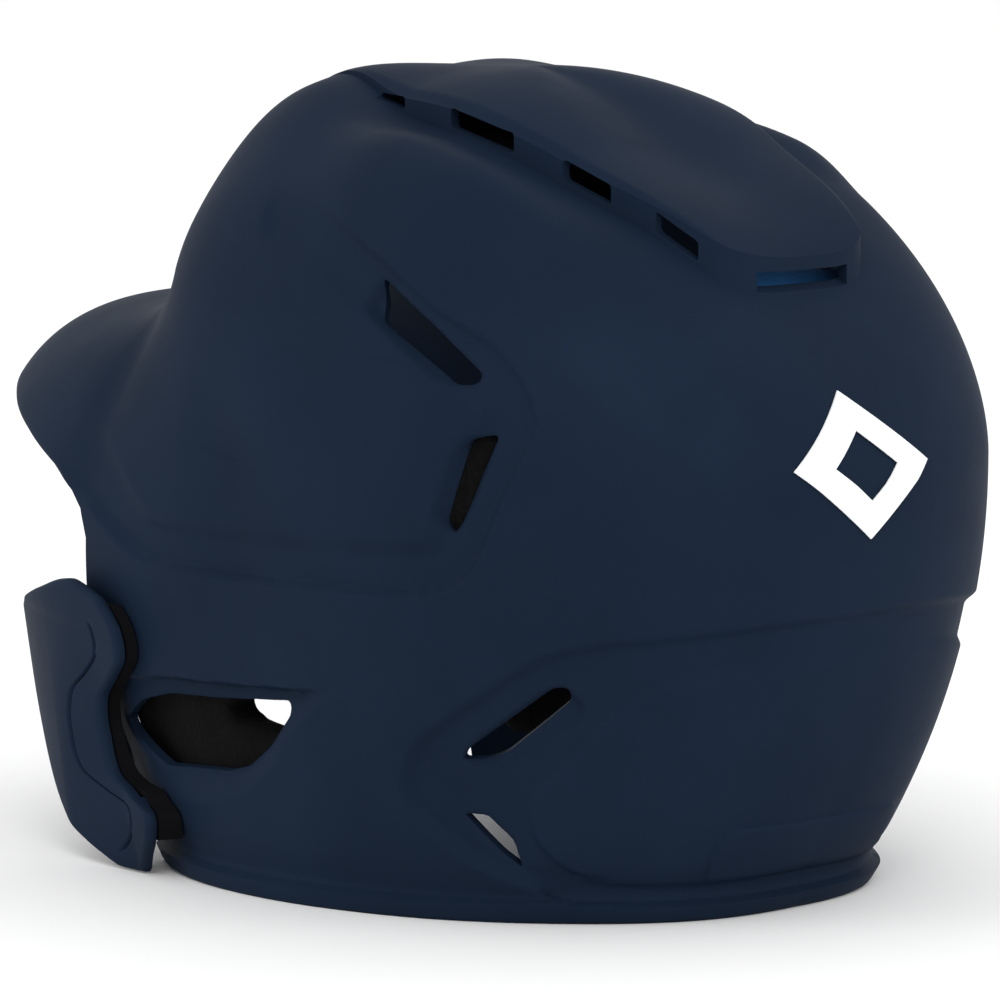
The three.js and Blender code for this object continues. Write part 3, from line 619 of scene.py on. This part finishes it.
def foam(name, dark, light, cell=900.0, hole=None):
    """Closed-cell foam; hole is the spacing of a punched grid in metres."""
    mat, nt, bsdf = material(name)
    pos = nt.nodes.new("ShaderNodeTexCoord").outputs["Object"]
    broad = noise(nt, pos, 30, 4)
    col = ramp(nt, broad.outputs["Fac"], [(0.3, dark), (0.7, light)])
    cells = nt.nodes.new("ShaderNodeTexVoronoi")
    cells.inputs["Scale"].default_value = cell
    nt.links.new(pos, cells.inputs["Vector"])
    b = bump(nt, cells.outputs["Distance"], 0.35, 0.0004)
    bsdf.inputs["Roughness"].default_value = 0.85
    bsdf.inputs["Sheen Weight"].default_value = 0.15
    colour = col.outputs["Color"]
    if hole:
        # the punched holes are coloured near-black: painted shade inside the holes, on top of their bump
        dots = nt.nodes.new("ShaderNodeTexVoronoi")
        dots.inputs["Scale"].default_value = 1 / hole
        dots.inputs["Randomness"].default_value = 0.0
        nt.links.new(pos, dots.inputs["Vector"])
        mask = ramp(nt, dots.outputs["Distance"], [(0.22, (0, 0, 0, 1)), (0.30, (1, 1, 1, 1))])
        mix = nt.nodes.new("ShaderNodeMix")
        mix.data_type = "RGBA"
        nt.links.new(mask.outputs["Color"], mix.inputs[0])
        mix.inputs[6].default_value = (dark[0] * .12, dark[1] * .12, dark[2] * .12, 1)
        nt.links.new(colour, mix.inputs[7])
        colour = mix.outputs[2]
        b = bump(nt, mask.outputs["Color"], 0.8, 0.0012, b)
    nt.links.new(colour, bsdf.inputs["Base Color"])
    nt.links.new(b.outputs["Normal"], bsdf.inputs["Normal"])
    return mat


def fabric(name, dark, light):
    mat, nt, bsdf = material(name)
    pos = nt.nodes.new("ShaderNodeTexCoord").outputs["Object"]
    fuzz = noise(nt, pos, 650, 6, 0.75)
    col = ramp(nt, fuzz.outputs["Fac"], [(0.35, dark), (0.7, light)])
    nt.links.new(col.outputs["Color"], bsdf.inputs["Base Color"])
    bsdf.inputs["Roughness"].default_value = 0.95
    bsdf.inputs["Sheen Weight"].default_value = 0.03
    bsdf.inputs["Specular IOR Level"].default_value = 0.05
    bsdf.inputs["Sheen Roughness"].default_value = 0.5
    nt.links.new(bump(nt, fuzz.outputs["Fac"], 1.0, 0.0012).outputs["Normal"], bsdf.inputs["Normal"])
    return mat


BLUE_FOAM = foam("blue_foam", srgb(8, 104, 178), srgb(14, 124, 200))
DARK_FOAM = foam("dark_comfort_foam", srgb(30, 32, 36), srgb(42, 44, 49), 1400.0, 0.0075)
BLACK_FABRIC = fabric("black_brushed_fabric", srgb(1, 1, 2), srgb(12, 12, 14))


def place(ob, node, body, slot_name, mat):
    """Hands a finished piece to the frame in place of its CAD node."""
    ob.data.materials.clear()
    ob.data.materials.append(mat)
    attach(ob, body)
    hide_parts(node)
    return ob


shell = place(shell_mesh(), "outer_shell", "helmet", "navy_shell", NAVY)


# ------------------------------------------------------------ jaw guard and its fixings
GUARD_FRONT = ([-1, 10, 20, 36, 50, 70, 82], [43, 34, 28.5, 24, 21, 19, 20])
GUARD_REAR = ([-1, 6, 12, 19, 22.5, 27, 39, 46, 50, 55, 61, 69, 75, 82],
              [45, 49, 52, 52.5, 48, 44, 43, 43.7, 44.8, 47.8, 50.9, 51.2, 49.3, 46])
GUARD_TOP = ([0, 0.5, 0.85, 1], [66, 76, 81, 77.5])
GUARD_FLARE, FLARE_TOP, FREE_OUT = 0.33, 68.0, 1.5
GASKET, PLATE = 3.4, 3.2
PLATE_NEAR = GASKET + 3 * GAP + 0.2
SCREWS = {"upper": (46.5, 66.0), "lower": (47.5, 16.5)}
SCREW_AXIS = np.array([math.cos(math.radians(-16)), math.sin(math.radians(-16)), 0.0])
BOSS_RADIUS, INSERT_RADIUS, SHANK, HEAD_RADIUS = 5.6, 3.4, 2.0, 4.6
BOSS_FROM, BOSS_SHORT = GAP + 1.2, 1.4
INSERT_TO = PLATE_NEAR + PLATE - 2.2
PER_DEGREE = 2.35            # mm of guard plate per degree of azimuth
GROOVE_AT, GROOVE_DEPTH = 13.0, 1.5
CORNER_OUT = 4.0
GASKET_WIDE, GASKET_LOW, GASKET_TALL = 11.6, 11, 64


def guard_point(az, z, out):
    az, z = np.asarray(az, float), np.asarray(z, float)
    free = 1 - sstep(34, 47, az)
    followed = np.where(z < FLARE_TOP, FLARE_TOP + (z - FLARE_TOP) * (1 - (1 - GUARD_FLARE) * free), z)
    m = 2 - followed / WIDEST_Z
    radius = skirt(az, m)[0]
    growth = (skirt(az + 0.4, m)[0] - skirt(az - 0.4, m)[0]) / math.radians(0.8)
    s, c = np.sin(np.radians(az)), np.cos(np.radians(az))
    tx, ty = radius * c + growth * s, radius * s - growth * c
    length = np.hypot(tx, ty)
    reach = out + FREE_OUT * free
    return np.stack([radius * s + reach * ty / length, CENTRE_Y - radius * c - reach * tx / length, z], -1)


def slab(name, point, nu, nv, nw=1):
    """Closed slab whose point(u, v, w) gives places for u, v, w in 0..1; w 0 is the inner face."""
    index, verts = {}, []

    def at(i, j, k):
        if (i, j, k) not in index:
            index[i, j, k] = len(verts)
            verts.append((i / nu, j / nv, k / nw))
        return index[i, j, k]
    faces = []
    for i in range(nu):
        for j in range(nv):
            faces.append([at(i, j, nw), at(i + 1, j, nw), at(i + 1, j + 1, nw), at(i, j + 1, nw)])
            faces.append([at(i, j, 0), at(i, j + 1, 0), at(i + 1, j + 1, 0), at(i + 1, j, 0)])
    for k in range(nw):
        for i in range(nu):
            faces.append([at(i, 0, k), at(i + 1, 0, k), at(i + 1, 0, k + 1), at(i, 0, k + 1)])
            faces.append([at(i, nv, k), at(i, nv, k + 1), at(i + 1, nv, k + 1), at(i + 1, nv, k)])
        for j in range(nv):
            faces.append([at(0, j, k), at(0, j, k + 1), at(0, j + 1, k + 1), at(0, j + 1, k)])
            faces.append([at(nu, j, k), at(nu, j + 1, k), at(nu, j + 1, k + 1), at(nu, j, k + 1)])
    u, v, w = np.array(verts).T
    ob = make_mesh(name, point(u, v, w), faces)
    bm = bmesh.new()
    bm.from_mesh(ob.data)
    bmesh.ops.recalc_face_normals(bm, faces=bm.faces)
    bm.to_mesh(ob.data)
    bm.free()
    return ob


def applied(ob):
    bpy.context.view_layer.update()
    me = bpy.data.meshes.new_from_object(ob.evaluated_get(bpy.context.evaluated_depsgraph_get()))
    ob.modifiers.clear()
    ob.data = me
    return ob


def rear_edge(z):
    return through(GUARD_REAR, z)


def stand_off(az, z):
    """How much further the guard's lower rear corner stands off the shell."""
    return CORNER_OUT * (1 - sstep(10, 40, z)) * sstep(36, 45, az)


def guard_mesh():
    """Plate with rounded edges and a groove that follows its rear edge."""
    def point(u, v, w):
        high = through(GUARD_TOP, u)
        z = 0.5 + (high - 0.5) * v
        a0, a1 = through(GUARD_FRONT, z), rear_edge(z)
        az = a0 + (a1 - a0) * u
        ahead = (a1 - az) * PER_DEGREE
        groove = np.abs(ahead - GROOVE_AT)
        span = sstep(4, 8, z) * (1 - sstep(67, 71, z))
        cut = GROOVE_DEPTH * (1 - sstep(0.15, 1.2, groove)) * span
        land = 0.2 * sstep(12.4, 13.4, ahead) * span
        edge = np.minimum.reduce([(az - a0) * PER_DEGREE, ahead, high - z, z - 0.5])
        crown = 1.4 * (1 - np.sqrt(1 - np.clip(1 - edge / 2.4, 0, 1) ** 2))
        under = 0.6 * (1 - np.sqrt(1 - np.clip(1 - edge / 1.4, 0, 1) ** 2))
        out = np.where(w > 0.5, PLATE_NEAR + PLATE - cut - land - crown, PLATE_NEAR + under)
        return guard_point(az, z, out + stand_off(az, z))
    ob = slab("guard", point, 150, 200)
    bosses = []
    for az, z in SCREWS.values():
        seat = surface(az, level_at(az, z))
        boss_to = PLATE_NEAR + PLATE - BOSS_SHORT + stand_off(az, z)
        bosses.append(rod("boss", seat, BOSS_FROM, boss_to, BOSS_RADIUS, 48))
    boolean(ob, bosses, "UNION")
    holes = []
    for az, z in SCREWS.values():
        seat = surface(az, level_at(az, z))
        holes.append(rod("hole", seat, -5, INSERT_TO + stand_off(az, z), INSERT_RADIUS + GAP, 40))
    boolean(ob, holes, "DIFFERENCE")
    return sharpen(ob, 40)


def rod(name, seat, low, high, radius, sides=32):
    a = np.arange(sides) * 2 * math.pi / sides
    side = np.array([-SCREW_AXIS[1], SCREW_AXIS[0], 0.0])
    return prism(name, np.c_[np.cos(a), np.sin(a)] * radius, low, high, [side, [0, 0, 1.0], SCREW_AXIS], seat)


def lathe(name, seat, profile, sides=40):
    """Turned piece about the screw axis; profile is (radius, distance) and closes on itself or the axis."""
    side = np.array([-SCREW_AXIS[1], SCREW_AXIS[0], 0.0])
    up = np.array([0, 0, 1.0])
    a = np.arange(sides) * 2 * math.pi / sides
    ring = np.cos(a)[:, None] * side + np.sin(a)[:, None] * up
    verts, rows = [], []
    for r, h in profile:
        if r < 1e-6:
            rows.append([len(verts)])
            verts.append(seat + SCREW_AXIS * h)
        else:
            rows.append(list(range(len(verts), len(verts) + sides)))
            verts += list(seat + SCREW_AXIS * h + ring * r)
    faces = []
    pairs = list(zip(rows, rows[1:]))
    if profile[0][0] > 1e-6:
        pairs.append((rows[-1], rows[0]))
    for p, q in pairs:
        for k in range(sides):
            n = (k + 1) % sides
            if len(p) == 1:
                faces.append([p[0], q[n], q[k]])
            elif len(q) == 1:
                faces.append([p[k], p[n], q[0]])
            else:
                faces.append([p[k], p[n], q[n], q[k]])
    ob = make_mesh(name, verts, faces)
    bm = bmesh.new()
    bm.from_mesh(ob.data)
    bmesh.ops.recalc_face_normals(bm, faces=bm.faces)
    bm.to_mesh(ob.data)
    bm.free()
    return ob


def gasket_mesh():
    """Rubber strip under the guard's rear edge, wrapped round the upper side of the lower boss. Its black is
    partly the rubber's own colour and partly painted shade for the gap between guard and shell.
    """
    def point(u, v, w):
        z = GASKET_LOW + GASKET_TALL * v
        low_az, low_z = SCREWS["lower"]
        wrap = np.sqrt(np.clip((BOSS_RADIUS + 2.2) ** 2 - (z - low_z) ** 2, 0, None)) / PER_DEGREE
        a1 = np.maximum(rear_edge(z) - 0.5, np.where((z > low_z) & (wrap > 0), low_az + wrap, 0))
        az = a1 - GASKET_WIDE + GASKET_WIDE * u
        return guard_point(az, z, GAP + 0.3 + (GASKET + stand_off(az, z)) * w)
    ob = slab("gasket", point, 16, 90)
    holes = []
    for az, z in SCREWS.values():
        holes.append(rod("hole", surface(az, level_at(az, z)), -12, 16, BOSS_RADIUS + GAP, 40))
    boolean(ob, holes, "DIFFERENCE")
    return sharpen(ob, 40)


guard = place(guard_mesh(), "jaw_guard", "jaw_guard_assembly", "navy_shell", NAVY)
# the gasket's black is partly painted shade for the gap behind the guard's rear edge
gasket = place(gasket_mesh(), "jaw_guard_gasket", "jaw_guard_assembly", "black_rubber", BLACK_RUBBER_AND_GAP_SHADE)
HEAD_AT, HEAD_TALL, THREAD = -WALL - 1.2, 3.2, 0.35
WASHER_AT = -WALL - 0.85
for which, (az, z) in SCREWS.items():
    seat = surface(az, level_at(az, z))
    insert_to = INSERT_TO + float(stand_off(az, z)) - GAP
    tip = insert_to - GAP
    head = [(0, -HEAD_TALL), (HEAD_RADIUS - 1.3, -HEAD_TALL), (HEAD_RADIUS - 0.5, -2.9), (HEAD_RADIUS, -2.2),
            (HEAD_RADIUS, -0.3), (HEAD_RADIUS - 0.3, 0), (SHANK, 0)]
    profile = [(radius, HEAD_AT + along) for radius, along in head]
    for k in range(int((tip - HEAD_AT - 1.6) / THREAD)):
        profile.append((SHANK - (0.25 if k % 2 else 0.0), HEAD_AT + 1.0 + THREAD * k))
    screw = lathe("screw_" + which, seat, profile + [(SHANK - 0.5, tip), (0, tip)])
    socket = rod("socket", seat, HEAD_AT - 4, HEAD_AT - 1.4, 1.5, 6)
    boolean(screw, [socket], "DIFFERENCE")
    place(sharpen(screw), "guard_screw_" + which, which + "_screw", "steel", STEEL)
    section = [(2.5, 0), (5.8, 0), (6, 0.15), (6, 0.65), (5.8, 0.8), (2.5, 0.8)]
    washer = lathe("washer_" + which, seat, [(radius, WASHER_AT + along) for radius, along in section])
    place(sharpen(washer), "guard_washer_" + which, "helmet", "steel", STEEL)
    a, b = BOSS_FROM + 0.2, insert_to
    grooves = []
    for k in range(6):
        h = a + 0.3 + (b - a - 0.6) * k / 5
        grooves.append((INSERT_RADIUS - (0.2 if k % 2 else 0.0), h))
    insert = lathe("insert_" + which, seat, [(2.35, a), (INSERT_RADIUS - 0.2, a)] + grooves
                   + [(INSERT_RADIUS - 0.2, b), (2.35, b)])
    place(sharpen(insert), "guard_insert_" + which, "jaw_guard_assembly", "brass", BRASS)


# ------------------------------------------------------------ liner
def pad_mesh(name, span, near, thick, size=2.2, crown=1.0, edge=3.5, closing=0.0):
    """Pillow on the inner wall: flat against the shell, crowned towards the head, rounded edges.

    closing is how much nearer the shell an ear pad's front end comes.
    """
    low_az, high_az, low_z, high_z = span
    arc = abs(high_az - low_az) * 1.6
    tall = high_z - low_z
    nu, nv = max(12, int(arc / size)), max(8, int(tall / size))

    def point(u, v, w):
        x, y = (u - 0.5) * 2, (v - 0.5) * 2
        # the corners are drawn in a little
        k = 1 - 0.12 * (x * x * y * y)
        az = (low_az + high_az) / 2 + (high_az - low_az) / 2 * x * k
        z = (low_z + high_z) / 2 + tall / 2 * y * k
        border = np.minimum((1 - np.abs(x)) * arc / 2, (1 - np.abs(y)) * tall / 2)
        r = 1 - np.sqrt(np.clip(1 - np.clip(1 - border / edge, 0, 1) ** 2, 0, 1))
        swell = 1 - r * 0.75
        depth = np.where(w > 0.5, near + r * 0.12 * thick, near + thick * swell)
        depth = depth + np.where(w > 0.5, 0, crown * ((1 - x * x) * (1 - y * y) - 0.5))
        depth = depth - np.where(w > 0.5, closing, 0) * (1 - sstep(38.5, 42, np.abs(az)))
        m = level_at(az, z)
        return surface(az, m) - normal(az, m) * depth[:, None]
    return slab(name, point, nu, nv, 1)


FRAMES = 20                  # length of the cloth simulation


def soften(ob, cap, voxel=4.0):
    """A short cloth simulation that swells a pad and lets it pull in, with a cap on the movement."""
    mod = ob.modifiers.new("remesh", "REMESH")
    mod.mode, mod.voxel_size = "VOXEL", voxel * MM
    applied(ob)
    rest = np.array([v.co[:] for v in ob.data.vertices])
    cloth = ob.modifiers.new("cloth", "CLOTH")
    cloth.settings.use_pressure = True
    cloth.settings.uniform_pressure_force = 4.0
    cloth.settings.effector_weights.gravity = 0
    cloth.settings.mass = 0.3
    cloth.settings.tension_stiffness = 25
    cloth.settings.bending_stiffness = 5
    cloth.point_cache.frame_start, cloth.point_cache.frame_end = 1, FRAMES
    for frame_no in range(1, FRAMES + 1):
        bpy.context.scene.frame_set(frame_no)
    deps = bpy.context.evaluated_depsgraph_get()
    moved = np.array([v.co[:] for v in ob.evaluated_get(deps).data.vertices])
    ob.modifiers.clear()
    step = moved - rest
    length = np.linalg.norm(step, axis=1, keepdims=True) + 1e-12
    step = step * np.minimum(1, cap * MM / length)
    ob.data.vertices.foreach_set("co", (rest + step).ravel())
    ob.data.update()
    bpy.context.scene.frame_set(1)
    smooth = ob.modifiers.new("smooth", "SMOOTH")
    smooth.factor, smooth.iterations = 0.5, 3
    sub = ob.modifiers.new("sub", "SUBSURF")
    sub.levels = sub.render_levels = 1
    applied(ob)
    for f in ob.data.polygons:
        f.use_smooth = True
    return ob


PAD_FACE = WALL + GAP + 0.9
# azimuths, heights, and how much further in from the wall
PADS = {
    "brow": (-44, 44, 158, 184, 1.2),
    "left_side": (58, 128, 98, 143, 0),
    "right_side": (-128, -58, 98, 143, 0),
    "rear": (138, 222, 92, 180, 2.4),
    "nape": (140, 220, 26, 72, 2.4),
}
COMFORT_TOP = {"rear": 145.4}
for name, (a, b, lo, hi, more) in PADS.items():
    near = PAD_FACE + more
    outer_pad = soften(pad_mesh(name, (a + .5, b - .5, lo + .6, hi - .6), near + 0.6, 6.6), 0.9)
    kind = ("black_fabric", BLACK_FABRIC) if "side" in name else ("blue_foam", BLUE_FOAM)
    place(outer_pad, name + "_pad", "helmet", *kind)
    top = COMFORT_TOP.get(name, hi - 4.6)
    inner_pad = soften(pad_mesh(name + "_c", (a + 3.6, b - 3.6, lo + 4.6, top), near + 9.4, 4.0), 0.9)
    place(inner_pad, name + "_comfort_pad", "helmet", "dark_comfort_foam", DARK_FOAM)


def crown_mesh(name, top_level, near, thick, edge):
    rows = np.concatenate([[0], np.linspace(0.02, top_level, 26)])

    def border(m):
        d = (top_level - m) * 150
        return 1 - np.sqrt(np.clip(1 - np.clip(1 - d / edge, 0, 1) ** 2, 0, 1))
    return ring_mesh(name, np.arange(96) * 3.75 - 180, rows, rows,
                     lambda a, m, p: -near - thick * 0.35 * border(m),
                     lambda a, m, p: -near - thick * (1 - 0.35 * border(m)))


CROWN_NEAR = WALL + CROWN_STEP + 1.6
# the crown pad takes the near-black fabric so the crown slots read dark inside: painted shade in the slots
crown = soften(crown_mesh("crown", 0.355, CROWN_NEAR + 0.5, 8.0, 5), 0.7)
place(crown, "crown_pad", "helmet", "black_fabric", BLACK_FABRIC)
crown_c = soften(crown_mesh("crown_c", 0.275, CROWN_NEAR + 10.0, 3.6, 4), 0.6)
place(crown_c, "crown_comfort_pad", "helmet", "dark_comfort_foam", DARK_FOAM)

EAR_HOLE = [(62, 45), (67, 58), (84, 60), (88, 53), (82, 44), (72, 41)]
for side, hand in (("left", 1), ("right", -1)):
    block = pad_mesh(side + "_ear", (35.4 * hand, 96.4 * hand, 14.6, 73.4), PAD_FACE + 4.8, 11.0,
                     size=1.8, crown=0.8, edge=4, closing=3.6)
    boolean(block, [vent_prism("h", EAR_HOLE, hand, 34.0)], "DIFFERENCE")
    soften(block, 0.8, voxel=2.6)
    place(block, side + "_ear_pad", "helmet", "black_fabric", BLACK_FABRIC)


# ------------------------------------------------------------ generic rear decal
DECAL_X, DECAL_Z = 10.0, 122
DECAL_OUT, DECAL_IN = 0.62, 0.25


def decal_mesh():
    az = np.arange(720) * 0.5 - 180
    rows = np.concatenate([[0], np.linspace(0.1, 0.7, 4), np.linspace(0.74, 1.3, 70)])
    skin = ring_mesh("decal", az, rows, rows, lambda a, m, p: np.full(len(a), DECAL_OUT),
                     lambda a, m, p: np.full(len(a), DECAL_IN))
    basis = [[-1, 0, 0], [0, 0, 1], [0, 1, 0]]

    def diamond(wide, tall):
        x, z = -DECAL_X, DECAL_Z
        outline = [(x - wide, z), (x, z - tall), (x + wide, z), (x, z + tall)]
        return prism("diamond", outline, 98, 188, basis)
    boolean(skin, [diamond(24.2, 19)], "INTERSECT")
    boolean(skin, [diamond(11.4, 9)], "DIFFERENCE")
    return sharpen(skin)


place(decal_mesh(), "rear_decal", "helmet", "white_decal", WHITE_VINYL)


# ------------------------------------------------------------ studio
CAMERA_AZIMUTH, CAMERA_ELEVATION, CAMERA_DISTANCE = 134, 6.5, 1.7
LIGHTS = [                   # name, place in metres, power, size
    ("key", (1.6, 1.9, 2.0), 20, 1.2),
    ("left", (2.2, -1.4, 1.2), 8, 1.0),
    ("right", (-1.4, 2.2, 1.0), 9, 1.0),
]


def studio():
    sc = bpy.context.scene
    world = bpy.data.worlds.new("studio")
    sc.world = world
    world.use_nodes = True
    bg = world.node_tree.nodes["Background"]
    bg.inputs["Color"].default_value = (1, 1, 1, 1)
    bg.inputs["Strength"].default_value = 1.06
    me = bpy.data.meshes.new("floor")
    me.from_pydata([(-6, -6, 0), (6, -6, 0), (6, 6, 0), (-6, 6, 0)], [], [(0, 1, 2, 3)])
    floor = bpy.data.objects.new("floor", me)
    sc.collection.objects.link(floor)
    mat, nt, bsdf = material("floor_paint")
    pos = nt.nodes.new("ShaderNodeTexCoord").outputs["Object"]
    n = noise(nt, pos, 3)
    col = ramp(nt, n.outputs["Fac"], [(0.3, (0.93, 0.93, 0.93, 1)), (0.7, (0.95, 0.95, 0.95, 1))])
    nt.links.new(col.outputs["Color"], bsdf.inputs["Base Color"])
    bsdf.inputs["Roughness"].default_value = 0.9
    me.materials.append(mat)
    az, el, dist = math.radians(CAMERA_AZIMUTH), math.radians(CAMERA_ELEVATION), CAMERA_DISTANCE
    back = Vector((math.sin(az) * math.cos(el), -math.cos(az) * math.cos(el), math.sin(el)))
    target = Vector((0, 0.0065, 0.108))
    cam = bpy.data.cameras.new("camera")
    cam.lens, cam.sensor_width = 220.3, 36
    cam.shift_x, cam.shift_y = 0.0078, -0.0275
    ob = bpy.data.objects.new("camera", cam)
    sc.collection.objects.link(ob)
    ob.location = target + back * dist
    ob.rotation_euler = back.to_track_quat("Z", "Y").to_euler()
    sc.camera = ob
    for name, at, energy, size in LIGHTS:
        light = bpy.data.lights.new(name, "AREA")
        light.energy, light.size = energy, size
        lo = bpy.data.objects.new(name, light)
        sc.collection.objects.link(lo)
        lo.location = at
        lo.rotation_euler = (Vector(at) - Vector((0, 0, 0.1))).to_track_quat("Z", "Y").to_euler()
    sc.view_settings.view_transform = "Standard"


studio()
